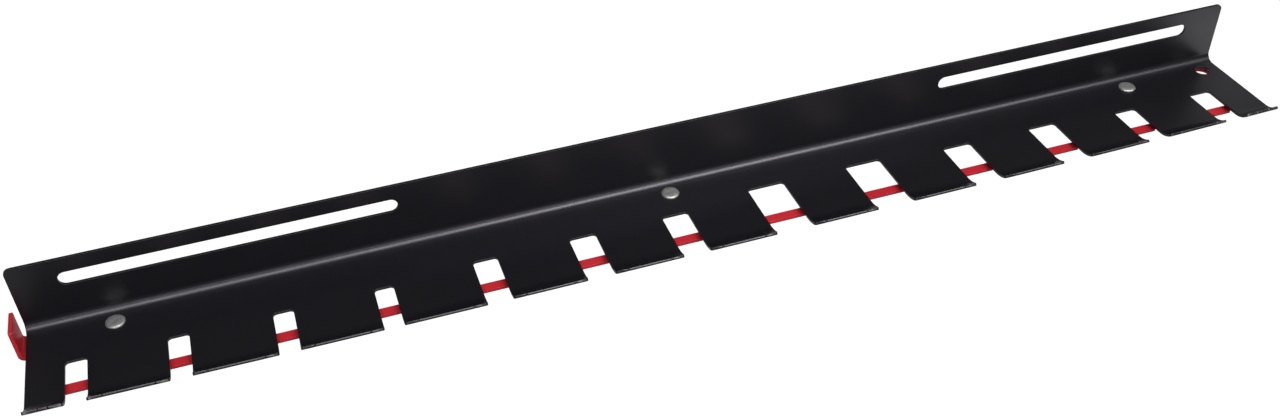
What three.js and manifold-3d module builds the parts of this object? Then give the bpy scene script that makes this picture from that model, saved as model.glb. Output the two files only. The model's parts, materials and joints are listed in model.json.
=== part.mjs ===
// Clamp rack for a wall: a folded steel shelf whose notches hold clamps of several sizes,
// with a sliding lock bar under it that closes every notch at once.
// Sizes are in millimetres. X runs along the rack, Y into the wall, Z up. The origin lies on
// the wall side of the flange, midway along the rack, at the height of the mounting slots.

import * as THREE from "three";
import { mergeVertices } from "three/addons/utils/BufferGeometryUtils.js";
import Module from "manifold-3d";

// Folded sheet
const RACK_LENGTH = 914.4;
const SHEET = 2;
const FLANGE_RISE = 50.7; // top of the shelf to the top of the wall flange
const FLANGE_CORNER = 4.5;
const BEND_RADIUS = 7; // inside the bend between flange and shelf
const SHELF_DEPTH = 73.5; // wall to where the front lip starts to curl
const LIP_LENGTH = 12.85; // along the top of the curl
const LIP_ANGLE = THREE.MathUtils.degToRad(30); // at mid-length
const LIP_CURL = THREE.MathUtils.degToRad(27); // how much more the lip curls at the ends

// Mounting slots in the flange
const SLOT_RISE = 34.2; // top of the shelf to the slots' centre line
const SLOT_WIDTH = 10.3;
const SLOT_LENGTH = 220.5;
const SLOT_LEFT = 29.2; // left end of the rack to the left slot
const SLOT_RIGHT = 30.8; // right slot to the right end

// Notches from left to right: the tongue before each one, its width, and wall to its back edge
const NOTCHES = [
  { tongue: 23.8, width: 13.6, back: 42.4 },
  { tongue: 49.5, width: 13.6, back: 42.4 },
  { tongue: 53.4, width: 13.4, back: 43 },
  { tongue: 53.6, width: 13, back: 43 },
  { tongue: 55.5, width: 17.2, back: 38.8 },
  { tongue: 51.7, width: 19.2, back: 38.8 },
  { tongue: 49.5, width: 19.2, back: 38.8 },
  { tongue: 49.8, width: 28.1, back: 30.6 },
  { tongue: 49.9, width: 28.1, back: 30.6 },
  { tongue: 50.1, width: 23.1, back: 36 },
  { tongue: 50.1, width: 23.1, back: 36 },
  { tongue: 50.3, width: 18.4, back: 41.3 },
  { tongue: 50.3, width: 18.4, back: 41.3 },
];
const LAST_TONGUE = 12; // least width of the tongue after the last notch
const NOTCH_CORNER = 2.6;
const TONGUE_CORNER = 1.6;

// Lock bar
const BAR_SHEET = 2.4;
const BAR_DROP = 3.3; // underside of the shelf to the top of the bar
const BAR_END = 4; // right end of the rack to the bar's end
const SPINE_BACK = 3.9; // wall to the spine's back edge
const SPINE_WIDTH = 19.6;
const HOOK_BACK = 57; // wall to the hooks' back edge
const HOOK_WIDTH = 6.6;
const HOOK_OVERLAP = 5; // hook tip past the right edge of its notch
const HOOK_CLEAR = 0.4; // open notch edge to the drawn-back tip
const HOOK_CORNER = 1.4;
const STEM_WIDTH = 12;
const STEM_GAP = 3; // stem to the left edge of its notch
const STEM_FILLET = 2.5;
const TAB_GAP = 2.9; // left end of the rack to the pull tab
const TAB_WIDTH = 18.9;
const TAB_RISE = 16.8; // top of the shelf to the top of the tab
const TAB_BEND = 2; // inside radius
const TAB_CORNER = 1.6;
const TAB_NECK = 2; // left end of the rack to the step from tab to spine
const TAB_JOIN = 4; // how far the tab's strip runs into the spine

// Guides: rivets on one line with the padlock hole
const GUIDE_LINE = 14.9; // wall to the line
const GUIDE_COUNT = 3;
const GUIDE_LEFT = 55.4; // left end of the rack to the first rivet
const GUIDE_RIGHT = 85.6; // last rivet to the right end
const PADLOCK_END = 14.2; // padlock hole to the right end
const PADLOCK_HOLE = 12;
const BAR_HOLE = 15.4; // the bar's own hole, wider so that a leaning shackle passes
const BAR_HOLE_BACK = 1.5; // how much nearer to the wall it lies
const BAR_HOLE_END = 1.2; // how much nearer to the right end
const RIVET_HEAD = 13.2;
const RIVET_DOME = 0.6;
const RIVET_BRIM = 1; // height of the head's straight edge
const RIVET_SHANK = 6.4;
const RIVET_TAIL = 10.4;
const RIVET_TAIL_HEIGHT = 1.6;
const BUSH_SHOULDER = 16;
const BUSH_SLEEVE = 9;
const WASHER = 16;
const WASHER_SHEET = 1.6;

// Clearances
const SEAT = 0.2; // between pieces that rest on each other
const RUN = 0.3; // between pieces that slide past each other
const PAST = 5; // how far a cut runs past the material

// Facets
const ARC_STEPS = 5;
const LATHE_STEPS = 28;
const DOME_STEPS = 6;

// Places that follow from the sizes
const LEFT = -RACK_LENGTH / 2;
const RIGHT = RACK_LENGTH / 2;
const SHELF_TOP = -SLOT_RISE;
const SHELF_UNDER = SHELF_TOP - SHEET;
const FLANGE_TOP = SHELF_TOP + FLANGE_RISE;
const RACK_DEPTH = SHELF_DEPTH + (LIP_LENGTH / LIP_ANGLE + SHEET) * Math.sin(LIP_ANGLE);
const BAR_TOP = SHELF_UNDER - BAR_DROP;
const BAR_UNDER = BAR_TOP - BAR_SHEET;
const SPINE_FRONT = SPINE_BACK + SPINE_WIDTH;
const HOOK_FRONT = HOOK_BACK + HOOK_WIDTH;
const WIDEST_NOTCH = Math.max(...NOTCHES.map((notch) => notch.width));
const TRAVEL = WIDEST_NOTCH + HOOK_OVERLAP + HOOK_CLEAR;

const wasm = await Module();
wasm.setup();

const POWDER_BLACK = new THREE.MeshStandardMaterial({ color: 0x1d1c1f, roughness: 0.42, metalness: 0 });
const POWDER_RED = new THREE.MeshStandardMaterial({ color: 0xb3202c, roughness: 0.4, metalness: 0 });
const ZINC = new THREE.MeshStandardMaterial({ color: 0x9d9d9a, roughness: 0.38, metalness: 1 });

// A closed outline through corners given as [x, y, radius]; a corner with no radius stays sharp.
function outline(corners) {
  const shape = new THREE.Shape();
  const points = corners.map(([x, y]) => new THREE.Vector2(x, y));
  corners.forEach(([x, y, radius = 0], i) => {
    if (radius === 0) {
      if (i === 0) shape.moveTo(x, y);
      else shape.lineTo(x, y);
      return;
    }
    const before = points.at(i - 1).clone().sub(points[i]).normalize();
    const after = points[(i + 1) % points.length].clone().sub(points[i]).normalize();
    const half = Math.acos(before.dot(after)) / 2;
    const reach = radius / Math.tan(half);
    const centre = before.clone().add(after).setLength(radius / Math.sin(half)).add(points[i]);
    const from = before.clone().multiplyScalar(reach).add(points[i]).sub(centre).angle();
    const to = after.clone().multiplyScalar(reach).add(points[i]).sub(centre).angle();
    shape.absarc(centre.x, centre.y, radius, from, to, before.cross(after) > 0);
  });
  shape.closePath();
  return shape;
}

// A slot with round ends, along x.
function slotPath(left, right, y, width) {
  const radius = width / 2;
  const path = new THREE.Path();
  path.absarc(right - radius, y, radius, -Math.PI / 2, Math.PI / 2);
  path.absarc(left + radius, y, radius, Math.PI / 2, (3 * Math.PI) / 2);
  path.closePath();
  return path;
}

// A round hole, as two half circles.
function holePath(x, y, diameter) {
  const path = new THREE.Path();
  path.absarc(x, y, diameter / 2, 0, Math.PI);
  path.absarc(x, y, diameter / 2, Math.PI, 2 * Math.PI);
  return path;
}

// Extrusions of a plan (x, y) along Z, an elevation (x, z) along Y and an end view (y, z) along X,
// each from one place to another.
function extrude(shape, from, to, axes) {
  const geometry = new THREE.ExtrudeGeometry(shape, {
    depth: to - from,
    bevelEnabled: false,
    curveSegments: ARC_STEPS,
  });
  geometry.translate(0, 0, from);
  return solid(geometry.applyMatrix4(new THREE.Matrix4().makeBasis(...axes)));
}
const AXIS_X = new THREE.Vector3(1, 0, 0);
const AXIS_Y = new THREE.Vector3(0, 1, 0);
const AXIS_Z = new THREE.Vector3(0, 0, 1);
const extrudePlan = (shape, low, high) => extrude(shape, low, high, [AXIS_X, AXIS_Y, AXIS_Z]);
const extrudeEndView = (shape, left, right) => extrude(shape, left, right, [AXIS_Y, AXIS_Z, AXIS_X]);
const extrudeElevation = (shape, back, front) =>
  extrude(shape, back, front, [AXIS_X, AXIS_Z, AXIS_Y.clone().negate()]);

// A body whose end view (y, z) changes along X, from its outline at each place.
function loft(outlineAt, places) {
  const rings = places.map((x) => outlineAt(x));
  if (THREE.ShapeUtils.isClockWise(rings[0])) rings.forEach((ring) => ring.reverse());
  const count = rings[0].length;
  const last = (rings.length - 1) * count;
  const positions = rings.flatMap((ring, i) => ring.flatMap((point) => [places[i], point.x, point.y]));
  const index = [];
  for (let a = 0; a < last; a++) {
    const b = (a + 1) % count === 0 ? a + 1 - count : a + 1;
    index.push(a, b, b + count, a, b + count, a + count);
  }
  THREE.ShapeUtils.triangulateShape(rings[0], []).forEach(([a, b, c]) => index.push(c, b, a));
  THREE.ShapeUtils.triangulateShape(rings.at(-1), []).forEach(([a, b, c]) => index.push(last + a, last + b, last + c));
  const geometry = new THREE.BufferGeometry();
  geometry.setAttribute("position", new THREE.Float32BufferAttribute(positions, 3));
  geometry.setIndex(index);
  return solid(geometry);
}

// A closed geometry as a body that can be cut and joined, and back again.
function solid(geometry) {
  geometry.deleteAttribute("normal");
  geometry.deleteAttribute("uv");
  const welded = mergeVertices(geometry);
  return new wasm.Manifold(
    new wasm.Mesh({
      numProp: 3,
      vertProperties: new Float32Array(welded.attributes.position.array),
      triVerts: new Uint32Array(welded.index.array),
    }),
  );
}

function geometryOf(body) {
  const mesh = body.getMesh();
  const geometry = new THREE.BufferGeometry();
  geometry.setAttribute("position", new THREE.BufferAttribute(mesh.vertProperties, 3));
  geometry.setIndex(new THREE.BufferAttribute(mesh.triVerts, 1));
  geometry.computeVertexNormals();
  return geometry;
}

// A ring or a round piece turned about a vertical axis, from its half section.
function turned(section) {
  const geometry = new THREE.LatheGeometry(section, LATHE_STEPS).rotateX(Math.PI / 2);
  geometry.deleteAttribute("normal");
  geometry.deleteAttribute("uv");
  const welded = mergeVertices(geometry);
  welded.computeVertexNormals();
  return welded;
}

function piece(name, geometry, material) {
  const mesh = new THREE.Mesh(geometry, material);
  mesh.name = name;
  return mesh;
}

// The notches that fit on the rack, each with its left and right edge.
function placedNotches() {
  const placed = [];
  let x = LEFT;
  for (const { tongue, width, back } of NOTCHES) {
    const left = x + tongue;
    x = left + width;
    if (x + LAST_TONGUE <= RIGHT) placed.push({ left, right: x, back });
  }
  return placed;
}

// The rivets stand evenly between the first and the last.
function guidePlaces() {
  const first = LEFT + GUIDE_LEFT;
  const pitch = (RIGHT - GUIDE_RIGHT - first) / (GUIDE_COUNT - 1);
  return Array.from({ length: GUIDE_COUNT }, (_, i) => first + i * pitch);
}

const notches = placedNotches();
const guides = guidePlaces();
const padlock = RIGHT - PADLOCK_END;

// The press that folds the lip gives way in the middle, so the lip curls more toward the ends.
const lipAngle = (x) => LIP_ANGLE + LIP_CURL * Math.abs((2 * x) / RACK_LENGTH) ** 3;

// End view of the folded sheet at x: flange, bend, shelf and curled lip.
function sheetSection(x) {
  const bendY = -SHEET - BEND_RADIUS;
  const bendZ = SHELF_TOP + BEND_RADIUS;
  const angle = lipAngle(x);
  const lipRadius = LIP_LENGTH / angle;
  const lipZ = SHELF_TOP + lipRadius;
  const down = -Math.PI / 2;
  const section = new THREE.Shape();
  section.moveTo(0, FLANGE_TOP + PAST);
  section.lineTo(0, bendZ);
  section.absarc(bendY, bendZ, BEND_RADIUS + SHEET, 0, down, true);
  section.absarc(-SHELF_DEPTH, lipZ, lipRadius + SHEET, down, down - angle, true);
  section.absarc(-SHELF_DEPTH, lipZ, lipRadius, down - angle, down, false);
  section.absarc(bendY, bendZ, BEND_RADIUS, down, 0, false);
  section.lineTo(-SHEET, FLANGE_TOP + PAST);
  return section.getPoints(ARC_STEPS);
}

// Front view: the flange's rounded top corners and its two mounting slots.
function sheetElevation() {
  const view = outline([
    [LEFT, SHELF_UNDER - PAST],
    [RIGHT, SHELF_UNDER - PAST],
    [RIGHT, FLANGE_TOP, FLANGE_CORNER],
    [LEFT, FLANGE_TOP, FLANGE_CORNER],
  ]);
  view.holes.push(slotPath(LEFT + SLOT_LEFT, LEFT + SLOT_LEFT + SLOT_LENGTH, 0, SLOT_WIDTH));
  view.holes.push(slotPath(RIGHT - SLOT_RIGHT - SLOT_LENGTH, RIGHT - SLOT_RIGHT, 0, SLOT_WIDTH));
  return view;
}

// Plan: the comb of tongues, with the rivet holes and the padlock hole.
function sheetPlan() {
  const tip = -RACK_DEPTH - SEAT;
  const corners = [
    [RIGHT + PAST, PAST],
    [LEFT - PAST, PAST],
    [LEFT - PAST, tip],
  ];
  for (const { left, right, back } of notches) {
    corners.push([left, tip, TONGUE_CORNER], [left, -back, NOTCH_CORNER]);
    corners.push([right, -back, NOTCH_CORNER], [right, tip, TONGUE_CORNER]);
  }
  corners.push([RIGHT + PAST, tip]);
  const plan = outline(corners);
  for (const x of guides) plan.holes.push(holePath(x, -GUIDE_LINE, RIVET_SHANK + 2 * SEAT));
  plan.holes.push(holePath(padlock, -GUIDE_LINE, PADLOCK_HOLE));
  return plan;
}

// The sheet is what its three views have in common.
function rackBody() {
  const edges = notches.flatMap(({ left, right }) => [left, right]);
  const section = loft(sheetSection, [LEFT - PAST, LEFT, ...edges, RIGHT, RIGHT + PAST]);
  const elevation = extrudeElevation(sheetElevation(), -PAST, RACK_DEPTH + PAST);
  const plan = extrudePlan(sheetPlan(), SHELF_UNDER - PAST, FLANGE_TOP + PAST);
  return geometryOf(section.intersect(elevation).intersect(plan));
}

// Plan of the lock bar: a spine with one L-shaped hook for each notch.
function barPlan() {
  const neck = LEFT + TAB_NECK;
  const corners = [
    [RIGHT - BAR_END, -SPINE_BACK, HOOK_CORNER],
    [neck, -SPINE_BACK],
    [neck, -SPINE_FRONT, HOOK_CORNER],
  ];
  for (const { left, right } of notches) {
    const stem = left - STEM_GAP;
    const tip = right + HOOK_OVERLAP;
    corners.push([stem - STEM_WIDTH, -SPINE_FRONT, STEM_FILLET], [stem - STEM_WIDTH, -HOOK_FRONT, STEM_FILLET]);
    corners.push([tip, -HOOK_FRONT, HOOK_CORNER], [tip, -HOOK_BACK, HOOK_CORNER]);
    corners.push([stem, -HOOK_BACK, STEM_FILLET], [stem, -SPINE_FRONT, STEM_FILLET]);
  }
  corners.push([RIGHT - BAR_END, -SPINE_FRONT, HOOK_CORNER]);
  const plan = outline(corners);
  const reach = BUSH_SLEEVE / 2 + RUN;
  for (const x of guides) plan.holes.push(slotPath(x - reach, x + TRAVEL + reach, -GUIDE_LINE, 2 * reach));
  plan.holes.push(holePath(padlock + BAR_HOLE_END, BAR_HOLE_BACK - GUIDE_LINE, BAR_HOLE));
  return plan;
}

// The pull tab: a strip that leaves the spine, bends and stands up past the end of the rack.
function pullTab() {
  const inner = LEFT - TAB_GAP;
  const outer = inner - BAR_SHEET;
  const bendX = inner + TAB_BEND;
  const bendZ = BAR_TOP + TAB_BEND;
  const top = SHELF_TOP + TAB_RISE;
  const join = LEFT + TAB_NECK + TAB_JOIN;
  const down = -Math.PI / 2;
  const strip = new THREE.Shape();
  strip.moveTo(outer, top + PAST);
  strip.lineTo(outer, bendZ);
  strip.absarc(bendX, bendZ, TAB_BEND + BAR_SHEET, Math.PI, down, false);
  strip.lineTo(join, BAR_UNDER);
  strip.lineTo(join, BAR_TOP);
  strip.absarc(bendX, bendZ, TAB_BEND, down, -Math.PI, true);
  strip.lineTo(inner, top + PAST);
  strip.closePath();
  const face = outline([
    [-SPINE_BACK - TAB_WIDTH, BAR_UNDER - PAST],
    [-SPINE_BACK, BAR_UNDER - PAST],
    [-SPINE_BACK, top, TAB_CORNER],
    [-SPINE_BACK - TAB_WIDTH, top, TAB_CORNER],
  ]);
  const bent = extrudeElevation(strip, 0, SPINE_FRONT + PAST);
  return bent.intersect(extrudeEndView(face, outer - PAST, join + PAST));
}

function lockBar() {
  return geometryOf(extrudePlan(barPlan(), BAR_UNDER, BAR_TOP).add(pullTab()));
}

// Heights of the guide stack, from the shelf down.
const BUSH_TOP = SHELF_UNDER - SEAT;
const BUSH_STEP = BAR_TOP + RUN;
const WASHER_TOP = BAR_UNDER - RUN;
const WASHER_UNDER = WASHER_TOP - WASHER_SHEET;
const SLEEVE_UNDER = WASHER_TOP + SEAT;

// A rivet with a low dome on the shelf and a flat tail closed under the washer.
function guideRivet() {
  const shank = RIVET_SHANK / 2;
  const tail = RIVET_TAIL / 2;
  const head = RIVET_HEAD / 2;
  const tailTop = WASHER_UNDER - SEAT;
  const tailUnder = tailTop - RIVET_TAIL_HEIGHT;
  const headUnder = SHELF_TOP + SEAT;
  const brim = headUnder + RIVET_BRIM;
  const section = [
    [0, tailUnder],
    [tail - RIVET_BRIM, tailUnder],
    [tail, tailUnder + RIVET_BRIM],
    [tail, tailTop],
    [shank, tailTop],
    [shank, headUnder],
    [head, headUnder],
  ];
  const sphere = (head ** 2 + RIVET_DOME ** 2) / (2 * RIVET_DOME);
  const sweep = Math.asin(head / sphere);
  for (let i = 0; i < DOME_STEPS; i++) {
    const angle = sweep * (1 - i / DOME_STEPS);
    section.push([sphere * Math.sin(angle), brim + RIVET_DOME - sphere * (1 - Math.cos(angle))]);
  }
  section.push([0, brim + RIVET_DOME]);
  return turned(section.map(([r, z]) => new THREE.Vector2(r, z)));
}

// A closed half section through corners given as [radius, height].
const ring = (corners) => turned([...corners, corners[0]].map(([r, z]) => new THREE.Vector2(r, z)));
const GUIDE_BORE = RIVET_SHANK / 2 + SEAT;

// A bush whose shoulder spaces the bar from the shelf and whose sleeve runs in the bar's slot.
function guideBush() {
  return ring([
    [GUIDE_BORE, SLEEVE_UNDER],
    [BUSH_SLEEVE / 2, SLEEVE_UNDER],
    [BUSH_SLEEVE / 2, BUSH_STEP],
    [BUSH_SHOULDER / 2, BUSH_STEP],
    [BUSH_SHOULDER / 2, BUSH_TOP],
    [GUIDE_BORE, BUSH_TOP],
  ]);
}

function guideWasher() {
  return ring([
    [GUIDE_BORE, WASHER_UNDER],
    [WASHER / 2, WASHER_UNDER],
    [WASHER / 2, WASHER_TOP],
    [GUIDE_BORE, WASHER_TOP],
  ]);
}

const rack = new THREE.Group();
rack.add(piece("rack_body", rackBody(), POWDER_BLACK));
rack.add(piece("lock_bar", lockBar(), POWDER_RED));
guides.forEach((x, i) => {
  const guide = new THREE.Group();
  guide.position.set(x, -GUIDE_LINE, 0);
  guide.add(piece(`guide_rivet_${i + 1}`, guideRivet(), ZINC));
  guide.add(piece(`guide_bush_${i + 1}`, guideBush(), ZINC));
  guide.add(piece(`guide_washer_${i + 1}`, guideWasher(), ZINC));
  rack.add(guide);
});

export default rack;
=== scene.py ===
"""Fine form and finish of a wall rack for clamps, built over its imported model.

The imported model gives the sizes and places. The folded shelf and the sliding lock bar are
remade as sheets with soft edges, round corners and true bends, the guide pieces as turned
pieces, and every surface takes a procedural finish.
"""

import json
import logging
from collections.abc import Sequence
from dataclasses import dataclass
from enum import Enum
from math import cos, pi, radians, sin
from typing import Any, ClassVar

import bpy
import numpy as np
from mathutils import Matrix, Vector
from mathutils.geometry import delaunay_2d_cdt

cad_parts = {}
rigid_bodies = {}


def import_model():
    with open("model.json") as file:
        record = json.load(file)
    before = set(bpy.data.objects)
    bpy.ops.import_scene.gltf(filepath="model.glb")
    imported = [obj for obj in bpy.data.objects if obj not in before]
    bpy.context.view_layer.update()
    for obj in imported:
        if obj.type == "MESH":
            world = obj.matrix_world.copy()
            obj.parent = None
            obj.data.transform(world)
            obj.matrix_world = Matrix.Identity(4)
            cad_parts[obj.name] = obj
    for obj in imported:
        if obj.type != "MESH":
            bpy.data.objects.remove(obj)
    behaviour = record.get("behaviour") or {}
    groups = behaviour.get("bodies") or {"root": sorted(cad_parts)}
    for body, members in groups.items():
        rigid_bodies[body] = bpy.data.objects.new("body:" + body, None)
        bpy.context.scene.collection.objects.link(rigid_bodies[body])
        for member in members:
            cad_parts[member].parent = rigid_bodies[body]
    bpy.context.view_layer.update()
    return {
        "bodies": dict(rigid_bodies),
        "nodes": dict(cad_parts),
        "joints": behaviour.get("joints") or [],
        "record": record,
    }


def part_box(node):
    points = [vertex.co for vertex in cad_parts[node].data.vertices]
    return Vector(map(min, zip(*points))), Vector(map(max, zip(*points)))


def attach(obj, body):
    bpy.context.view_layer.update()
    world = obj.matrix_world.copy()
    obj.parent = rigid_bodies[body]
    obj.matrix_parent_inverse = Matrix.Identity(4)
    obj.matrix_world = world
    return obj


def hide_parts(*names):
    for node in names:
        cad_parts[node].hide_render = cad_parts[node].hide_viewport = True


log = logging.getLogger("clamp_rack")

MM = 0.001
PHOTO_WIDTH_PX = 1280

# Tolerances: two distances in metres, a share of an edge, and a distance in millimetres.
SAME_POINT = 1e-8
ON_STATION = 1e-7
AT_POINT = 1e-6
FILL_TOLERANCE = 1e-6

# The triangle fill's mode: triangles over the whole hull.
FILL_HULL = 0

Array = np.ndarray
Corner = tuple[float, float, float]
Pair = tuple[float, float]
Spot = tuple[float, float, float]
Colour = tuple[float, float, float, float]
Frame = dict[str, Any]

WHITE: Colour = (1.0, 1.0, 1.0, 1.0)


class Plane(Enum):
    """Where a sheet's section lies: the indices of its two axes, then of the axis across it."""

    END_VIEW = (1, 2, 0)
    ELEVATION = (0, 2, 1)


class Slot(Enum):
    """The record's material slots."""

    BLACK = "powder_black"
    RED = "powder_red"
    ZINC = "zinc"


class Body(Enum):
    """The record's bodies."""

    RACK = "rack"
    BAR = "lock_bar"


class Relief(Enum):
    """The heights that the shared texture gives for a finish's relief."""

    GRAIN = "Grain"
    SCRATCH = "Scratch"


def unit(vectors: Array) -> Array:
    """Scales vectors to length one.

    Args:
        vectors: Vectors along the last axis.

    Returns:
        The unit vectors.
    """
    return vectors / np.linalg.norm(vectors, axis=-1, keepdims=True)


@dataclass(frozen=True)
class Loop:
    """A closed flat outline and the unit normals that point out of the material."""

    points: Array
    outward: Array

    ROUND_SHARE: ClassVar[float] = 0.9999
    ROUND_STEPS: ClassVar[int] = 14

    @classmethod
    def rounded(cls, corners: Sequence[Corner], steps: int = 10, hole: bool = False) -> "Loop":
        """Makes an outline with an arc at every corner.

        Each arc's centre lies on the corner's bisector at radius / sin(half angle), and its
        points are centre + radius * (cos a, sin a) over an even sweep of a.

        Args:
            corners: Two coordinates and a radius above zero for each corner, in either order.
            steps: Chords in each arc.
            hole: Whether the material lies outside the outline.

        Returns:
            The outline, with the material on the left of its direction of travel.
        """
        at = np.array(corners, float)
        ahead = np.roll(at, -1, axis=0)
        area = np.sum(at[:, 0] * ahead[:, 1] - ahead[:, 0] * at[:, 1])
        if (area > 0) == hole:
            at = at[::-1]
        spot, radius = at[:, :2], at[:, 2:]
        before = unit(np.roll(spot, 1, axis=0) - spot)
        after = unit(np.roll(spot, -1, axis=0) - spot)
        half = np.arccos(np.clip(np.sum(before * after, axis=1), -1, 1))[:, None] / 2
        side = -np.sign(before[:, :1] * after[:, 1:] - before[:, 1:] * after[:, :1])
        centre = spot + unit(before + after) * radius / np.sin(half)
        first = spot + before * radius / np.tan(half) - centre
        sweep = side * (pi - 2 * half) * np.linspace(0, 1, steps + 1)
        angle = np.arctan2(first[:, 1:], first[:, :1]) + sweep
        ray = np.stack([np.cos(angle), np.sin(angle)], axis=-1)
        points = (centre[:, None] + radius[:, None] * ray).reshape(-1, 2)
        outward = (side[:, None] * ray).reshape(-1, 2)
        kept = np.linalg.norm(points - np.roll(points, 1, axis=0), axis=1) > SAME_POINT
        return cls(points[kept], outward[kept])

    @classmethod
    def slot(cls, ends: Pair, middle: float, width: float, crosswise: bool = False) -> "Loop":
        """Makes a hole with round ends; a round hole is a slot as long as it is wide.

        Its corners' radius is a hair under half its width, so that every side keeps a length.

        Args:
            ends: Where the slot begins and ends.
            middle: Place of its centre line.
            width: Width across the centre line.
            crosswise: Whether it runs along the second coordinate instead of the first.

        Returns:
            The hole's outline.
        """
        low, high, half = min(ends), max(ends), width / 2
        left, right = middle - half, middle + half
        spots = [(low, left), (high, left), (high, right), (low, right)]
        if crosswise:
            spots = [spot[::-1] for spot in spots]
        radius = half * cls.ROUND_SHARE
        return cls.rounded([(*spot, radius) for spot in spots], cls.ROUND_STEPS, hole=True)

    @classmethod
    def bore(cls, spot: Pair, width: float) -> "Loop":
        """Makes a round hole.

        Args:
            spot: Its centre.
            width: Its diameter.

        Returns:
            The hole's outline.
        """
        along, across = spot
        return cls.slot((along - width / 2, along + width / 2), across, width)

    def inset(self, depth: float) -> Array:
        """Gives the outline moved into the material.

        Args:
            depth: How far it moves.

        Returns:
            The moved points.
        """
        return self.points - depth * self.outward

    def split(self, stations: Array, depth: float) -> "Loop":
        """Adds a point wherever the inset outline crosses a station of its first coordinate.

        Args:
            stations: Values of the first coordinate.
            depth: The inset.

        Returns:
            The outline with the added points.
        """
        inner = self.inset(depth)
        along = inner[:, 0]
        with np.errstate(divide="ignore", invalid="ignore"):
            part = (stations[:, None] - along) / (np.roll(along, -1) - along)
        row, edge = np.nonzero((part > AT_POINT) & (part < 1 - AT_POINT))
        place = np.sort(np.concatenate([np.arange(len(along)), edge + part[row, edge]]))
        whole = place.astype(int)
        rest = (place - whole)[:, None]
        ahead = (whole + 1) % len(along)
        between = inner[whole] * (1 - rest) + inner[ahead] * rest
        outward = unit(self.outward[whole] * (1 - rest) + self.outward[ahead] * rest)
        return Loop(between + depth * outward, outward)


@dataclass(frozen=True)
class Run:
    """A stretch of a sheet's section: its length on the face and how far it turns to the face.

    Where the gain isn't zero, the turn grows by gain * |place across / reach| ** 3.
    """

    length: float
    turn: float = 0.0
    gain: float = 0.0
    reach: float = 1.0

    def turn_at(self, across: Array) -> Array:
        """Gives the turn at places across the sheet.

        Args:
            across: The places.

        Returns:
            The turns, in radians.
        """
        return self.turn + self.gain * np.abs(across / self.reach) ** 3


@dataclass(frozen=True)
class Fold:
    """A sheet's section as a path along its face, made of straight runs and arcs."""

    start: Pair
    heading: float
    runs: tuple[Run, ...]
    plane: Plane

    def stations(self, steps: int = 14) -> Array:
        """Gives the distances along the path at which arcs are divided.

        Args:
            steps: Chords in each arc.

        Returns:
            The distances, ascending.
        """
        ends = np.cumsum([run.length for run in self.runs])
        arcs = [
            np.linspace(end - run.length, end, steps + 1)
            for run, end in zip(self.runs, ends)
            if run.turn
        ]
        return np.unique(np.concatenate(arcs).round(9))

    def place(self, along: Array, across: Array, depth: Array) -> tuple[Array, Array, Array]:
        """Folds flat points into space.

        With the heading h, the path goes along (cos h, sin h) and the face looks along
        (sin h, -cos h). A straight run adds its distance times the first; an arc of radius r adds
        r times the face's direction at its start less the face's direction where it has got to.

        Args:
            along: Distances along the path.
            across: Places across it.
            depth: Depths under the face.

        Returns:
            Points, face normals and path directions.
        """
        first, second, crosswise = self.plane.value
        begun = 0.0
        angle, heading = (np.full(along.shape, self.heading) for _ in range(2))
        spot = np.zeros((*along.shape, 2)) + self.start
        for run in self.runs:
            part = np.clip(along - begun, 0.0, run.length)
            if run.turn:
                turn = run.turn_at(across)
                now = angle - turn * part / run.length
                bow = np.stack([np.sin(angle) - np.sin(now), np.cos(now) - np.cos(angle)], axis=-1)
                spot += (run.length / turn)[..., None] * bow
                heading += now - angle
                angle = angle - turn
            else:
                spot += part[..., None] * np.stack([np.cos(angle), np.sin(angle)], axis=-1)
            begun += run.length
        points, face, ahead = (np.zeros((*along.shape, 3)) for _ in range(3))
        face[..., first], face[..., second] = np.sin(heading), -np.cos(heading)
        ahead[..., first], ahead[..., second] = np.cos(heading), np.sin(heading)
        points[..., first], points[..., second] = spot[..., 0], spot[..., 1]
        points[..., crosswise] = across
        return points - face * depth[..., None], face, ahead


def build_mesh(
    name: str, points: Array, faces: list[Array], normals: Array | None = None
) -> bpy.types.Mesh:
    """Makes a smooth mesh whose faces all point outward.

    The faces are turned round where the sum of a . (b x c) over their triangles is negative.

    Args:
        name: Name of the mesh.
        points: Vertices.
        faces: Arrays of corner indices, each of one corner count.
        normals: A normal for each vertex, or None for the surface's own.

    Returns:
        The mesh.
    """
    fans = [rows[:, [0, k, k + 1]] for rows in faces for k in range(1, rows.shape[1] - 1)]
    one, two, three = np.moveaxis(points[np.concatenate(fans)], 1, 0)
    if np.sum(one * np.cross(two, three)) < 0:
        faces = [rows[:, ::-1] for rows in faces]
    mesh = bpy.data.meshes.new(name)
    mesh.from_pydata(points.tolist(), [], [row for rows in faces for row in rows.tolist()])
    mesh.polygons.foreach_set("use_smooth", np.ones(len(mesh.polygons), bool))
    if normals is not None:
        mesh.normals_split_custom_set_from_vertices(normals.tolist())
    mesh.update()
    return mesh


def dress(
    mesh: bpy.types.Mesh, finish: bpy.types.Material, body: Body, node: str
) -> bpy.types.Object:
    """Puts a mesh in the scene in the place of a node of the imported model.

    Args:
        mesh: The mesh, in the frame's coordinates.
        finish: Its material.
        body: The body it rides on.
        node: The node it stands for.

    Returns:
        The dressed piece.
    """
    piece = bpy.data.objects.new(mesh.name, mesh)
    bpy.context.scene.collection.objects.link(piece)
    mesh.materials.append(finish)
    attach(piece, body.value)
    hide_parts(node)
    return piece


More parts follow.
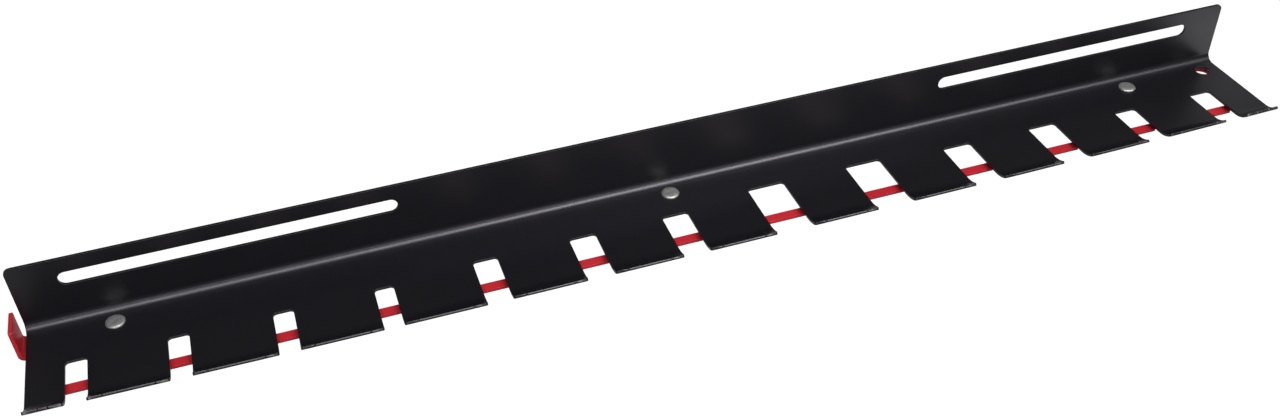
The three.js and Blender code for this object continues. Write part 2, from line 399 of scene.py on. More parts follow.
@dataclass(frozen=True)
class FoldedSheet:
    """Sheet metal cut to flat outlines, with softened edges, and folded along a path.

    Along the dressed spans of its tip the cut face is shaded as if it were dressed to a slope
    with a low crown.
    """

    name: str
    loops: tuple[Loop, ...]
    fold: Fold
    thickness: float
    edge: float = 0.22 * MM
    edge_steps: int = 5
    dressed: tuple[Pair, ...] = ()
    tip_slope: float = radians(38)
    tip_crown: float = radians(22)
    tip_depth: float = 1 * MM
    tip_fade: int = 8

    def mesh(self) -> bpy.types.Mesh:
        """Builds the sheet as two filled faces and a rim of rings with a rounded section.

        A ring at the turn t lies edge * (1 - sin t) inside the outline, and under the face by
        edge * (1 - cos t) for its first quarter and thickness - edge * (1 + cos t) for its
        second; its normal is cos t times the face's plus sin t times the outline's. With the
        lean l, the outline's normal there is cos l times itself plus sin l times the face's.

        Returns:
            The mesh.
        """
        stations = self.fold.stations()
        loops = [loop.split(stations, self.edge) for loop in self.loops]
        flat = np.concatenate([loop.points for loop in loops])
        out = np.concatenate([loop.outward for loop in loops])
        sizes = [len(loop.points) for loop in loops]
        count = len(flat)
        ahead = np.arange(1, count + 1)
        ahead[np.cumsum(sizes) - 1] = np.cumsum(sizes) - sizes

        quarter = np.linspace(0, pi / 2, self.edge_steps + 1)
        turn = np.concatenate([quarter, quarter + pi / 2])[:, None]
        upper = np.arange(len(turn))[:, None] <= self.edge_steps
        under_face = self.edge * (1 - np.cos(turn))
        over_back = self.thickness - self.edge * (1 + np.cos(turn))
        rings = flat - self.edge * (1 - np.sin(turn))[..., None] * out
        depth = np.broadcast_to(np.where(upper, under_face, over_back), rings.shape[:2])
        points, face, way = self.fold.place(rings[..., 0], rings[..., 1], depth)
        rim = way * out[:, :1]
        rim[..., self.fold.plane.value[2]] += out[:, 1]
        lean = self.lean(flat, out, np.arcsin(way[..., 2]), upper)[..., None]
        rim = np.cos(lean) * rim + np.sin(lean) * face
        normals = unit(np.cos(turn)[..., None] * face + np.sin(turn)[..., None] * rim)

        top = self.fill(rings[0], ahead, stations)
        here = np.arange(count) + count * np.arange(len(turn) - 1)[:, None]
        there = ahead + count * np.arange(len(turn) - 1)[:, None]
        band = np.stack([here, here + count, there + count, there], axis=-1).reshape(-1, 4)
        faces = [top, top[:, ::-1] + count * (len(turn) - 1), band]
        return build_mesh(self.name, points.reshape(-1, 3), faces, normals.reshape(-1, 3))

    def lean(self, flat: Array, out: Array, climb: Array, upper: Array) -> Array:
        """Gives how far the outlines' normals lean to the face.

        Along a dressed span the lean is slope + crown - climb on the upper rings and
        slope - crown - climb on the lower ones, so that the cut face is shaded at the same slope
        however far the lip curls. It fades with the outward normal's turn from the tip.

        Args:
            flat: Points of all the outlines.
            out: Their outward normals.
            climb: Angle at which the path climbs, for each ring and point.
            upper: Whether each ring belongs to the face's edge, as a column.

        Returns:
            The angles in radians, for each ring and point.
        """
        low, high = np.reshape(self.dressed, (-1, 2)).T
        within = np.any((flat[:, 1:] > low) & (flat[:, 1:] < high), axis=1)
        near_tip = flat[:, 0] > flat[:, 0].max() - self.tip_depth
        share = within * np.clip(out[:, 0], 0, 1) ** self.tip_fade * near_tip
        crown = np.where(upper, self.tip_crown, -self.tip_crown)
        return share * (self.tip_slope + crown - climb)

    @staticmethod
    def fill(flat: Array, ahead: Array, stations: Array) -> Array:
        """Fills outlines with triangles that don't cross the bends' stations.

        A triangle is kept where a ray from its middle crosses the outlines an odd number of times.

        Args:
            flat: Points of all the outlines.
            ahead: Index of the point that follows each one on its outline.
            stations: Distances at which the sheet is divided.

        Returns:
            Triangles as rows of point indices, anticlockwise in the flat.
        """
        edges = [np.stack([np.arange(len(flat)), ahead], axis=1)]
        for station in stations:
            met = np.nonzero(np.abs(flat[:, 0] - station) < ON_STATION)[0]
            met = met[np.argsort(flat[met, 1])]
            edges.append(met[: len(met) // 2 * 2].reshape(-1, 2))
        spots = [Vector(spot) for spot in (flat / MM).tolist()]
        edges = np.concatenate(edges).tolist()
        _, _, made, origins, _, _ = delaunay_2d_cdt(spots, edges, [], FILL_HULL, FILL_TOLERANCE)
        source = np.array([origin[0] if origin else -1 for origin in origins])
        triangles = source[np.array(made)]
        triangles = triangles[(triangles >= 0).all(axis=1)]

        begin, end = flat, flat[ahead]
        middle = flat[triangles].mean(axis=1)[:, None]
        spans = (begin[:, 1] > middle[..., 1]) != (end[:, 1] > middle[..., 1])
        with np.errstate(divide="ignore", invalid="ignore"):
            rate = (middle[..., 1] - begin[:, 1]) / (end[:, 1] - begin[:, 1])
            met = middle[..., 0] < begin[:, 0] + rate * (end[:, 0] - begin[:, 0])
        return triangles[np.sum(spans & met, axis=1) % 2 == 1]


@dataclass(frozen=True)
class Notch:
    """A notch for a clamp: its left and right edge and its back edge."""

    left: float
    right: float
    back: float


@dataclass(frozen=True)
class Layout:
    """Places that the shelf and the lock bar share, read from the frame."""

    notches: tuple[Notch, ...]
    slots: tuple[Pair, ...]
    guides: tuple[Vector, ...]
    padlock: Vector

    SIDE_MARGIN: ClassVar[float] = 0.3 * MM
    BACK_MARGIN: ClassVar[float] = 1.4 * MM
    SLOT_MARGIN: ClassVar[float] = 3.4 * MM
    GUIDES: ClassVar[int] = 3

    @classmethod
    def read(cls, frame: Frame) -> "Layout":
        """Reads the openings and the rivets' places.

        Args:
            frame: The loaded frame.

        Returns:
            The layout.
        """
        openings = frame["record"]["physics"]["openings"]
        boxes = {opening["name"]: opening["box_m"] for opening in openings}
        notches = tuple(
            Notch(low[0] - cls.SIDE_MARGIN, high[0] + cls.SIDE_MARGIN, high[1] + cls.BACK_MARGIN)
            for name, (low, high) in boxes.items()
            if name.startswith("notch")
        )
        slots = tuple(
            (low[0] - cls.SLOT_MARGIN, high[0] + cls.SLOT_MARGIN)
            for name, (low, high) in boxes.items()
            if name.startswith("mounting_slot")
        )
        rivets = [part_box(f"guide_rivet_{number}") for number in range(1, cls.GUIDES + 1)]
        guides = tuple((low + high) / 2 for low, high in rivets)
        low, high = (Vector(corner) for corner in boxes["padlock_hole"])
        return cls(notches, slots, guides, (low + high) / 2)


@dataclass(frozen=True)
class Shelf:
    """The folded sheet: a wall flange with two slots, a shelf of tongues and a curled lip."""

    layout: Layout
    thickness: float = 2 * MM
    bend: float = 7 * MM
    lip: float = 12.85 * MM
    lip_turn: float = radians(30)
    lip_curl: float = radians(27)
    slot_width: float = 10.3 * MM
    flange_corner: float = 4.5 * MM
    end_corner: float = 0.9 * MM
    mark_inset: float = 9 * MM
    mark_width: float = 1.6 * MM
    mark_depth: float = 0.5 * MM
    mark_corner: float = 0.5 * MM
    tongue_corner: float = 1.6 * MM
    notch_corner: float = 2.6 * MM
    rivet_hole: float = 6.8 * MM
    padlock_hole: float = 12 * MM

    def build(self, finish: bpy.types.Material) -> list[bpy.types.Object]:
        """Builds and dresses the sheet.

        Args:
            finish: Its material.

        Returns:
            The dressed sheet.
        """
        low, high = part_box("rack_body")
        wall = self.thickness + self.bend
        flange = high.z - low.z - wall
        corner = self.bend * pi / 2
        lip_depth = (self.lip / self.lip_turn + self.thickness) * sin(self.lip_turn)
        flat = -low.y - lip_depth - wall
        curl = Run(self.lip, self.lip_turn, self.lip_curl, (high.x - low.x) / 2)
        runs = (Run(flange), Run(corner, pi / 2), Run(flat), curl)
        fold = Fold((high.y - self.thickness, high.z), -pi / 2, runs, Plane.END_VIEW)

        sides = [x for notch in self.layout.notches for x in (notch.left, notch.right)]
        ends = [low.x, *sides, high.x]
        tongues = list(zip(ends[::2], ends[1::2]))
        margin = self.mark_inset - self.mark_width
        dressed = tuple((left + margin, right - margin) for left, right in tongues)
        wall_line = flange + corner - wall
        outline = self.outline(tongues, wall_line, flange + corner + flat + self.lip)
        loops = (outline, *self.holes(wall_line, high.z))
        sheet = FoldedSheet("rack_sheet", loops, fold, self.thickness, dressed=dressed)
        return [dress(sheet.mesh(), finish, Body.RACK, "rack_body")]

    def outline(self, tongues: Sequence[Pair], wall_line: float, tip: float) -> Loop:
        """Gives the sheet's outline: the flange's top edge, then the tongues from left to right.

        Args:
            tongues: Left and right end of each tongue.
            wall_line: Place along the flat sheet of a shelf carried on to the wall.
            tip: Place of the lip's edge along the flat sheet.

        Returns:
            The outline.
        """
        left_end, right_end = tongues[0][0], tongues[-1][1]
        corners = [(0, right_end, self.flange_corner), (0, left_end, self.flange_corner)]
        corners += [(tip, left_end, self.end_corner), *self.marks(tip, *tongues[0])]
        for notch, tongue in zip(self.layout.notches, tongues[1:]):
            back = wall_line - notch.back
            corners += [(tip, notch.left, self.tongue_corner), (back, notch.left, self.notch_corner)]
            corners += [(back, notch.right, self.notch_corner), (tip, notch.right, self.tongue_corner)]
            corners += self.marks(tip, *tongue)
        return Loop.rounded([*corners, (tip, right_end, self.end_corner)])

    def holes(self, wall_line: float, centre_line: float) -> list[Loop]:
        """Gives the mounting slots, the rivets' holes and the padlock's hole.

        Args:
            wall_line: Place along the flat sheet of a shelf carried on to the wall.
            centre_line: Place of the slots' centre line along the flat sheet.

        Returns:
            The holes' outlines.
        """
        drilled = [(spot, self.rivet_hole) for spot in self.layout.guides]
        drilled.append((self.layout.padlock, self.padlock_hole))
        slots = [Loop.slot(ends, centre_line, self.slot_width, True) for ends in self.layout.slots]
        return slots + [Loop.bore((wall_line - spot.y, spot.x), width) for spot, width in drilled]

    def marks(self, tip: float, left: float, right: float) -> list[Corner]:
        """Gives the small nicks that the press leaves in the lip near both ends of a tongue.

        Args:
            tip: Place of the lip's edge along the sheet.
            left: Left end of the tongue.
            right: Its right end.

        Returns:
            Corners of two V-shaped nicks, from left to right.
        """
        half, bottom = self.mark_width / 2, tip - self.mark_depth
        corners = []
        for middle in (left + self.mark_inset, right - self.mark_inset):
            nick = [(tip, middle - half), (bottom, middle), (tip, middle + half)]
            corners += [(*spot, self.mark_corner) for spot in nick]
        return corners


@dataclass(frozen=True)
class LockBar:
    """The sliding bar: a spine with a hook for each notch and a pull tab bent up at its end."""

    layout: Layout
    thickness: float = 2.4 * MM
    tab_bend: float = 2 * MM
    tab_wallward: float = 2 * MM
    tab_lift: float = 0.6 * MM
    tab_reach: float = 0.5 * MM
    tab_corner: float = 1.6 * MM
    tab_neck: float = 7.3 * MM
    neck_corner: float = 0.8 * MM
    spine: float = 19.6 * MM
    hook: float = 6.6 * MM
    hook_reach: float = 0.8 * MM
    hook_overlap: float = 5 * MM
    hook_corner: float = 1.4 * MM
    stem: float = 12 * MM
    stem_gap: float = 3 * MM
    stem_fillet: float = 2.5 * MM
    guide_slot: float = 9.6 * MM
    padlock_hole: float = 15.4 * MM
    padlock_shift: Pair = (1.2 * MM, 1.5 * MM)

    def build(self, finish: bpy.types.Material, travel: float) -> list[bpy.types.Object]:
        """Builds and dresses the bar.

        Args:
            finish: Its material.
            travel: How far it slides.

        Returns:
            The dressed bar.
        """
        low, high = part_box("lock_bar")
        top_face = low.z + self.thickness
        flat = high.x - low.x + self.tab_reach - self.thickness - self.tab_bend
        corner = self.tab_bend * pi / 2
        rise = high.z + self.tab_lift - top_face - self.tab_bend
        runs = (Run(flat), Run(corner, pi / 2), Run(rise))
        fold = Fold((high.x, top_face), pi, runs, Plane.ELEVATION)
        loops = (self.outline(low, high, flat + corner + rise), *self.holes(high.x, travel))
        sheet = FoldedSheet("lock_bar_sheet", loops, fold, self.thickness)
        return [dress(sheet.mesh(), finish, Body.BAR, "lock_bar")]

    def outline(self, low: Vector, high: Vector, tip: float) -> Loop:
        """Gives the bar's outline: its right end, the spine's back, the tab and then the hooks.

        Args:
            low: Low corner of the bar's box.
            high: Its high corner.
            tip: Place of the tab's upper edge along the flat bar.

        Returns:
            The outline.
        """
        neck = high.x - low.x - self.tab_neck
        back, front = high.y, high.y - self.spine
        tab_back = back + self.tab_wallward
        hook_front, hook_back = low.y - self.hook_reach, low.y + self.hook
        corners = [(0, front, self.hook_corner), (0, back, self.hook_corner)]
        corners += [(neck, back, self.neck_corner), (neck, tab_back, self.neck_corner)]
        corners += [(tip, tab_back, self.tab_corner), (tip, front, self.tab_corner)]
        for notch in self.layout.notches:
            right = high.x - (notch.left - self.stem_gap)
            left = right + self.stem
            end = high.x - (notch.right + self.hook_overlap)
            corners += [(left, front, self.stem_fillet), (left, hook_front, self.stem_fillet)]
            corners += [(end, hook_front, self.hook_corner), (end, hook_back, self.hook_corner)]
            corners += [(right, hook_back, self.stem_fillet), (right, front, self.stem_fillet)]
        return Loop.rounded(corners)

    def holes(self, right_end: float, travel: float) -> list[Loop]:
        """Gives the guides' slots, which are longer than wide by the travel, and the padlock's hole.

        Args:
            right_end: Place of the bar's right end.
            travel: How far the bar slides.

        Returns:
            The holes' outlines.
        """
        half = self.guide_slot / 2
        holes = []
        for spot in self.layout.guides:
            middle = right_end - spot.x
            ends = (middle - travel - half, middle + half)
            holes.append(Loop.slot(ends, spot.y, self.guide_slot))
        endward, wallward = self.padlock_shift
        padlock = self.layout.padlock
        spot = (right_end - padlock.x - endward, padlock.y + wallward)
        return [*holes, Loop.bore(spot, self.padlock_hole)]


@dataclass(frozen=True)
class Guide:
    """A rivet with its shouldered bush and washer, which carry the lock bar under the shelf."""

    number: int
    shank: float = 3.2 * MM
    tail: float = 5.2 * MM
    tail_height: float = 1.6 * MM
    bore: float = 3.4 * MM
    sleeve: float = 4.5 * MM
    shoulder: float = 2.8 * MM
    head_seat: float = 2.02 * MM
    soft: float = 0.3 * MM
    soft_steps: int = 5
    sides: int = 72
    dome_power: float = 0.4
    dome_steps: int = 25
    dent: float = 0.09 * MM
    hammer: float = 0.27 * MM
    hammer_pitch: Pair = (3.2 * MM, 6.5 * MM)
    hammer_waves: int = 9
    hammer_fade: int = 4
    hammer_seed: int = 40
    crease: float = radians(50)

    def build(self, finish: bpy.types.Material) -> list[bpy.types.Object]:
        """Builds and dresses the three pieces.

        Args:
            finish: Their material.

        Returns:
            The dressed rivet, bush and washer.
        """
        meshes = {"rivet": self.rivet(), "bush": self.bush(), "washer": self.washer()}
        return [
            dress(mesh, finish, Body.RACK, f"guide_{kind}_{self.number}")
            for kind, mesh in meshes.items()
        ]

    def rivet(self) -> bpy.types.Mesh:
        """Builds the rivet by turning a profile.

        The head and the tail are superellipses: radius = R * sin(a) ** power and
        height = H * cos(a) for a from the axis to the rim. The head has a shallow dent and
        hammer marks, which die out at its rim.

        Returns:
            The mesh.
        """
        low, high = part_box(f"guide_rivet_{self.number}")
        middle, head = (low + high) / 2, (high.x - low.x) / 2
        seat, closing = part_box("rack_body")[0].z + self.head_seat, low.z + self.tail_height
        angle = np.linspace(0, pi / 2, self.dome_steps + 1)[1:]
        bulge, crown = np.sin(angle) ** self.dome_power, np.cos(angle).clip(0)
        tail_z = closing - self.tail_height * crown
        head_z = seat + (high.z - seat) * crown[::-1]
        radius = np.concatenate([self.tail * bulge, [self.shank, self.shank], head * bulge[::-1]])
        height = np.concatenate([tail_z, [closing, seat], head_z])
        rings = self.sweep(np.stack([radius, height], axis=-1))
        x, y, z = np.moveaxis(rings, -1, 0)
        fade = np.clip(1 - (np.hypot(x, y) / head) ** self.hammer_fade, 0, 1) * (z > seat)
        rings[..., 2] += self.hammer * self.hammer_marks(x, y) * fade - self.dent * fade**2
        rings += np.array([middle.x, middle.y, 0])

        top = np.array([[middle.x, middle.y, rings[-1, :, 2].mean()]])
        bottom = np.array([[middle.x, middle.y, low.z]])
        grid = np.arange(rings[..., 0].size).reshape(rings.shape[:2])
        turned = np.roll(grid, -1, axis=1)
        band = np.stack([grid[:-1], turned[:-1], turned[1:], grid[1:]], axis=-1).reshape(-1, 4)
        upper = np.stack([grid[-1], turned[-1], np.full(self.sides, grid.size)], axis=-1)
        lower = np.stack([turned[0], grid[0], np.full(self.sides, grid.size + 1)], axis=-1)
        points = np.concatenate([rings.reshape(-1, 3), top, bottom])
        mesh = build_mesh(f"rivet_{self.number}", points, [band, upper, lower])
        mesh.set_sharp_from_angle(angle=self.crease)
        return mesh

    def hammer_marks(self, x: Array, y: Array) -> Array:
        """Gives hammer marks as the mean of cosine waves of seeded bearing, pitch and phase.

        Args:
            x: Places from the rivet's axis along the rack.
            y: Places from the rivet's axis to the wall.

        Returns:
            Heights between -1 and 1.
        """
        draw = np.random.default_rng(self.hammer_seed + self.number)
        bearing, phase = draw.uniform(0, 2 * pi, (2, self.hammer_waves))
        pitch = draw.uniform(*self.hammer_pitch, self.hammer_waves)
        way = np.stack([np.cos(bearing), np.sin(bearing)]) * 2 * pi / pitch
        return np.cos(x[..., None] * way[0] + y[..., None] * way[1] + phase).mean(axis=-1)

    def bush(self) -> bpy.types.Mesh:
        """Builds the shouldered bush.

        Returns:
            The mesh.
        """
        low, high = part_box(f"guide_bush_{self.number}")
        step, rim = high.z - self.shoulder, (high.x - low.x) / 2
        section = [(self.bore, low.z), (self.sleeve, low.z), (self.sleeve, step)]
        section += [(rim, step), (rim, high.z), (self.bore, high.z)]
        return self.ring(f"bush_{self.number}", section)

    def washer(self) -> bpy.types.Mesh:
        """Builds the washer.

        Returns:
            The mesh.
        """
        low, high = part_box(f"guide_washer_{self.number}")
        rim = (high.x - low.x) / 2
        section = [(self.bore, low.z), (rim, low.z), (rim, high.z), (self.bore, high.z)]
        return self.ring(f"washer_{self.number}", section)

    def ring(self, name: str, section: Sequence[Pair]) -> bpy.types.Mesh:
        """Turns a closed section with softened corners about the rivet's axis.

        Args:
            name: Name of the mesh.
            section: Corners as radius and height.

        Returns:
            The mesh.
        """
        low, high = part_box(f"guide_rivet_{self.number}")
        middle = (low + high) / 2
        loop = Loop.rounded([(*corner, self.soft) for corner in section], self.soft_steps)
        points = self.sweep(loop.points) + np.array([middle.x, middle.y, 0])
        grid = np.arange(points[..., 0].size).reshape(points.shape[:2])
        below, turned = np.roll(grid, -1, axis=0), np.roll(grid, -1, axis=1)
        band = np.stack([grid, turned, np.roll(turned, -1, axis=0), below], axis=-1).reshape(-1, 4)
        normals = self.sweep(loop.outward)
        return build_mesh(name, points.reshape(-1, 3), [band], normals.reshape(-1, 3))

    def sweep(self, section: Array) -> Array:
        """Carries points of a section, or their normals, round the axis.

        Each (r, z) goes to (r * cos a, r * sin a, z) over a full turn of a.

        Args:
            section: Rows of radius and height.

        Returns:
            A grid with a row for each point and a column for each side.
        """
        around = np.linspace(0, 2 * pi, self.sides, endpoint=False)
        radius, height = section[:, :1], section[:, 1:]
        height = np.broadcast_to(height, (len(section), self.sides))
        return np.stack([radius * np.cos(around), radius * np.sin(around), height], axis=-1)


def add(
    tree: bpy.types.NodeTree, kind: str, values: dict[str, Any] | None = None, **settings: Any
) -> bpy.types.Node:
    """Adds a shader node.

    Args:
        tree: The node tree.
        kind: The node's type.
        values: Values of its inputs by name.
        settings: Its properties.

    Returns:
        The node.
    """
    made = tree.nodes.new(kind)
    for name, value in settings.items():
        setattr(made, name, value)
    for name, value in (values or {}).items():
        made.inputs[name].default_value = value
    return made


def surface_texture() -> bpy.types.NodeTree:
    """Makes the texture group that all finishes share: fine grain, soft clouds and faint scratches.

    Returns:
        The group, from a vector and two scales to the heights Grain and Scratch and the mask Cloud.
    """
    tree = bpy.data.node_groups.new("surface_texture", "ShaderNodeTree")
    face = tree.interface
    face.new_socket("Vector", in_out="INPUT", socket_type="NodeSocketVector")
    face.new_socket("Grain Scale", in_out="INPUT", socket_type="NodeSocketFloat")
    face.new_socket("Cloud Scale", in_out="INPUT", socket_type="NodeSocketFloat")
    for name in (Relief.GRAIN.value, "Cloud", Relief.SCRATCH.value):
        face.new_socket(name, in_out="OUTPUT", socket_type="NodeSocketFloat")
    inlet, outlet = add(tree, "NodeGroupInput"), add(tree, "NodeGroupOutput")
    grain = add(tree, "ShaderNodeTexNoise", {"Detail": 3.0, "Roughness": 0.55})
    cloud = add(tree, "ShaderNodeTexNoise", {"Detail": 4.0, "Roughness": 0.6, "Distortion": 0.4})
    spread = add(tree, "ShaderNodeMapRange", {"From Min": 0.3, "From Max": 0.7}, clamp=True)
    stretch = add(tree, "ShaderNodeMapping", {"Scale": (1.0, 26.0, 26.0), "Rotation": (0.0, 0.0, 0.5)})
    scratch = add(tree, "ShaderNodeTexNoise", {"Detail": 5.0, "Roughness": 0.7})
    link = tree.links.new
    link(inlet.outputs["Vector"], grain.inputs["Vector"])
    link(inlet.outputs["Grain Scale"], grain.inputs["Scale"])
    link(grain.outputs["Fac"], outlet.inputs[Relief.GRAIN.value])
    link(inlet.outputs["Vector"], cloud.inputs["Vector"])
    link(inlet.outputs["Cloud Scale"], cloud.inputs["Scale"])
    link(cloud.outputs["Fac"], spread.inputs["Value"])
    link(spread.outputs["Result"], outlet.inputs["Cloud"])
    link(inlet.outputs["Vector"], stretch.inputs["Vector"])
    link(stretch.outputs["Vector"], scratch.inputs["Vector"])
    link(inlet.outputs["Cloud Scale"], scratch.inputs["Scale"])
    link(scratch.outputs["Fac"], outlet.inputs[Relief.SCRATCH.value])
    return tree


@dataclass(frozen=True)
class Finish:
    """A finish whose colour and roughness drift over soft clouds and whose skin has a fine relief."""

    name: str
    thin: Colour
    thick: Colour
    smooth: float
    rough: float
    specular: float
    gloss_tint: Colour
    metallic: float
    relief: Relief
    depth: float
    grain_scale: float
    cloud_scale: float

    def material(self, texture: bpy.types.NodeTree) -> bpy.types.Material:
        """Makes the material.

        Args:
            texture: The shared texture group.

        Returns:
            The material.
        """
        made = bpy.data.materials.new(self.name)
        made.use_nodes = True
        tree = made.node_tree
        shader = tree.nodes["Principled BSDF"]
        shader.inputs["Metallic"].default_value = self.metallic
        shader.inputs["Specular IOR Level"].default_value = self.specular
        shader.inputs["Specular Tint"].default_value = self.gloss_tint
        place = add(tree, "ShaderNodeTexCoord")
        skin = add(tree, "ShaderNodeGroup", node_tree=texture)
        skin.inputs["Grain Scale"].default_value = self.grain_scale
        skin.inputs["Cloud Scale"].default_value = self.cloud_scale
        tint = add(tree, "ShaderNodeMix", data_type="RGBA")
        thin, thick = (socket for socket in tint.inputs if socket.type == "RGBA")
        thin.default_value, thick.default_value = self.thin, self.thick
        mixed = next(socket for socket in tint.outputs if socket.type == "RGBA")
        gloss = add(tree, "ShaderNodeMapRange", {"To Min": self.smooth, "To Max": self.rough})
        bump = add(tree, "ShaderNodeBump", {"Strength": 1.0, "Distance": self.depth})
        link = tree.links.new
        link(place.outputs["Object"], skin.inputs["Vector"])
        link(skin.outputs["Cloud"], tint.inputs["Factor"])
        link(mixed, shader.inputs["Base Color"])
        link(skin.outputs["Cloud"], gloss.inputs["Value"])
        link(gloss.outputs["Result"], shader.inputs["Roughness"])
        link(skin.outputs[self.relief.value], bump.inputs["Height"])
        link(bump.outputs["Normal"], shader.inputs["Normal"])
        return made


BLACK_COAT = Finish(
    name="black_powder_coat",
    thin=(0.0024, 0.0023, 0.0038, 1.0),
    thick=(0.0018, 0.0017, 0.0030, 1.0),
    smooth=0.33,
    rough=0.38,
    specular=0.53,
    gloss_tint=(0.95, 0.92, 1.0, 1.0),
    metallic=0.0,
    relief=Relief.GRAIN,
    depth=0.02 * MM,
    grain_scale=900.0,
    cloud_scale=14.0,
)
RED_COAT = Finish(
    name="red_powder_coat",
    thin=(0.46, 0.020, 0.030, 1.0),
    thick=(0.38, 0.013, 0.021, 1.0),
    smooth=0.36,
    rough=0.44,
    specular=0.22,
    gloss_tint=WHITE,
    metallic=0.0,
    relief=Relief.GRAIN,
    depth=0.02 * MM,
    grain_scale=900.0,
    cloud_scale=18.0,
)
ZINC_PLATE = Finish(
    name="zinc_plate",
    thin=(0.48, 0.48, 0.47, 1.0),
    thick=(0.29, 0.29, 0.29, 1.0),
    smooth=0.44,
    rough=0.58,
    specular=0.5,
    gloss_tint=WHITE,
    metallic=0.85,
    relief=Relief.SCRATCH,
    depth=0.05 * MM,
    grain_scale=700.0,
    cloud_scale=260.0,
)


@dataclass(frozen=True)
class Lamp:
    """A rectangular lamp aimed at a point."""

    name: str
    spot: Spot
    aim: Spot
    width: float
    height: float
    power: float

    def build(self) -> None:
        """Adds the lamp, its width level."""
        light = bpy.data.lights.new(self.name, "AREA")
        light.shape, light.energy = "RECTANGLE", self.power
        light.size, light.size_y = self.width, self.height
        lamp = bpy.data.objects.new(self.name, light)
        lamp.location = self.spot
        beam = Vector(self.aim) - Vector(self.spot)
        lamp.rotation_euler = beam.to_track_quat("-Z", "Y").to_euler()
        lamp.visible_camera = False
        bpy.context.scene.collection.objects.link(lamp)


@dataclass(frozen=True)
class PhotoCamera:
    """The camera fitted to the photo: where it stands, how it is turned and its focal length.

    The fit counts from the pixels' centres and the renderer from their corners, so the frame is
    shifted by half a pixel.
    """

    spot: Spot = (-264.55 * MM, -718.34 * MM, 553.92 * MM)
    pan: float = radians(17.8445)
    tilt: float = radians(38.8964)
    roll: float = radians(1.7176)
    lens: float = 36.806
    sensor: float = 36.0
    shift: float = 0.5 / PHOTO_WIDTH_PX
    near: float = 0.01
    far: float = 50.0

    def build(self) -> None:
        """Adds the camera and makes it the scene's."""
        reach = cos(self.tilt)
        ahead = Vector((sin(self.pan) * reach, cos(self.pan) * reach, -sin(self.tilt)))
        level = Vector((cos(self.pan), -sin(self.pan), 0.0))
        down = ahead.cross(level)
        right = cos(self.roll) * level + sin(self.roll) * down
        under = cos(self.roll) * down - sin(self.roll) * level
        data = bpy.data.cameras.new("photo_camera")
        data.sensor_fit, data.sensor_width, data.lens = "HORIZONTAL", self.sensor, self.lens
        data.shift_x, data.shift_y = -self.shift, self.shift
        data.clip_start, data.clip_end = self.near, self.far
        camera = bpy.data.objects.new("photo_camera", data)
        turn = Matrix((right, -under, -ahead)).transposed().to_4x4()
        camera.matrix_world = Matrix.Translation(self.spot) @ turn
        bpy.context.scene.collection.objects.link(camera)
        bpy.context.scene.camera = camera


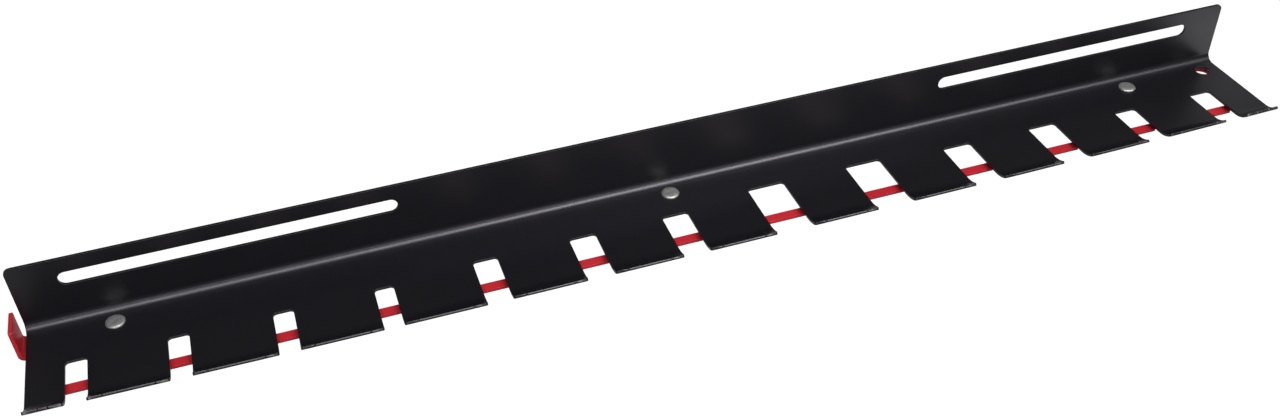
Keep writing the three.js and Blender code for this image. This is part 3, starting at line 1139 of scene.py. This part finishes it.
@dataclass(frozen=True)
class Studio:
    """White surroundings, lamps and a floor that keeps the shadow."""

    floor_height: float = -1.2
    floor_reach: float = 8.0
    floor_colour: Colour = (0.3, 0.3, 0.3, 1.0)
    floor_roughness: float = 0.9
    floor_lift: float = 0.95
    floor_glow: float = 0.45
    fill: float = 0.1
    sky_glow: float = 0.06
    lamps: tuple[Lamp, ...] = (
        Lamp(
            name="softbox",
            spot=(0.2, -0.86, 1.24),
            aim=(0.2, -0.03, -0.03),
            width=2.5,
            height=0.45,
            power=31.0,
        ),
        Lamp(
            name="key",
            spot=(0.43, -0.82, 1.23),
            aim=(0.1, -0.03, -0.03),
            width=0.6,
            height=0.5,
            power=7.0,
        ),
        Lamp(
            name="low_strip",
            spot=(-0.1, -1.5, 0.62),
            aim=(0.0, -0.08, -0.03),
            width=2.0,
            height=0.14,
            power=5.0,
        ),
        Lamp(
            name="rear_card",
            spot=(0.0, 1.3, -0.12),
            aim=(0.0, 0.0, 0.0),
            width=2.6,
            height=0.4,
            power=4.0,
        ),
        Lamp(
            name="flange_card",
            spot=(0.56, -0.115, -0.09),
            aim=(0.445, -0.002, 0.0),
            width=0.06,
            height=0.06,
            power=0.014,
        ),
        Lamp(
            name="shelf_card",
            spot=(0.56, 0.058, 0.06),
            aim=(0.445, -0.05, -0.034),
            width=0.06,
            height=0.06,
            power=0.006,
        ),
    )

    def build(self) -> None:
        """Adds the lamps, the world and the floor."""
        for lamp in self.lamps:
            lamp.build()
        self.world()
        self.floor()

    @staticmethod
    def seen(tree: bpy.types.NodeTree, glow: float) -> bpy.types.NodeSocket:
        """Adds a mask of the rays that should meet white.

        Args:
            tree: The node tree.
            glow: Share of the white that glossy rays meet, so that the black coat stays black.

        Returns:
            A socket that is one for camera and transmission rays and the share for glossy rays.
        """
        path = add(tree, "ShaderNodeLightPath")
        plain, shared = (add(tree, "ShaderNodeMath", operation="MAXIMUM") for _ in range(2))
        gloss = add(tree, "ShaderNodeMath", operation="MULTIPLY")
        gloss.inputs[1].default_value = glow
        link = tree.links.new
        link(path.outputs["Is Camera Ray"], plain.inputs[0])
        link(path.outputs["Is Transmission Ray"], plain.inputs[1])
        link(path.outputs["Is Glossy Ray"], gloss.inputs[0])
        link(plain.outputs["Value"], shared.inputs[0])
        link(gloss.outputs["Value"], shared.inputs[1])
        return shared.outputs["Value"]

    def world(self) -> None:
        """Lights the scene evenly from all sides and looks white past the floor."""
        world = bpy.data.worlds.new("studio")
        bpy.context.scene.world = world
        world.use_nodes = True
        tree = world.node_tree
        back = tree.nodes["Background"]
        back.inputs["Color"].default_value = WHITE
        level = add(tree, "ShaderNodeMapRange", {"To Min": self.fill, "To Max": 1.0})
        tree.links.new(self.seen(tree, self.sky_glow), level.inputs["Value"])
        tree.links.new(level.outputs["Result"], back.inputs["Strength"])

    def floor(self) -> None:
        """Adds a pale floor well under the rack, lifted to white where it is seen, clear from below."""
        paint = bpy.data.materials.new("floor_paint")
        paint.use_nodes = True
        tree = paint.node_tree
        shader = tree.nodes["Principled BSDF"]
        shader.inputs["Base Color"].default_value = self.floor_colour
        shader.inputs["Roughness"].default_value = self.floor_roughness
        shader.inputs["Specular IOR Level"].default_value = 0.0
        shader.inputs["Emission Color"].default_value = WHITE
        lift = add(tree, "ShaderNodeMapRange", {"To Max": self.floor_lift})
        tree.links.new(self.seen(tree, self.floor_glow), lift.inputs["Value"])
        tree.links.new(lift.outputs["Result"], shader.inputs["Emission Strength"])
        geometry = add(tree, "ShaderNodeNewGeometry")
        underside = add(tree, "ShaderNodeBsdfTransparent")
        mix = add(tree, "ShaderNodeMixShader")
        tree.links.new(geometry.outputs["Backfacing"], mix.inputs["Fac"])
        tree.links.new(shader.outputs["BSDF"], mix.inputs[1])
        tree.links.new(underside.outputs["BSDF"], mix.inputs[2])
        tree.links.new(mix.outputs["Shader"], tree.nodes["Material Output"].inputs["Surface"])
        reach, level = self.floor_reach, self.floor_height
        spots = [(-reach, -reach), (reach, -reach), (reach, reach), (-reach, reach)]
        mesh = bpy.data.meshes.new("floor")
        mesh.from_pydata([(*spot, level) for spot in spots], [], [range(len(spots))])
        mesh.materials.append(paint)
        floor = bpy.data.objects.new("floor", mesh)
        bpy.context.scene.collection.objects.link(floor)


def clear() -> None:
    """Removes whatever the start-up scene holds."""
    for thing in list(bpy.data.objects):
        bpy.data.objects.remove(thing)


def main() -> None:
    """Builds the rack over its frame, with its finishes, lamps, floor and camera."""
    logging.basicConfig(level=logging.INFO)
    clear()
    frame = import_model()
    layout = Layout.read(frame)
    travel = frame["joints"][0]["range_m"][1]
    texture = surface_texture()
    zinc = ZINC_PLATE.material(texture)
    pieces = Shelf(layout).build(BLACK_COAT.material(texture))
    pieces += LockBar(layout).build(RED_COAT.material(texture), travel)
    for number in range(1, len(layout.guides) + 1):
        pieces += Guide(number).build(zinc)
    for piece in pieces:
        finish = piece.data.materials[0].name
        log.info("built %s in %s with %d faces", piece.name, finish, len(piece.data.polygons))
    Studio().build()
    PhotoCamera().build()
    bpy.context.scene.view_settings.view_transform = "Standard"


if __name__ == "__main__":
    main()
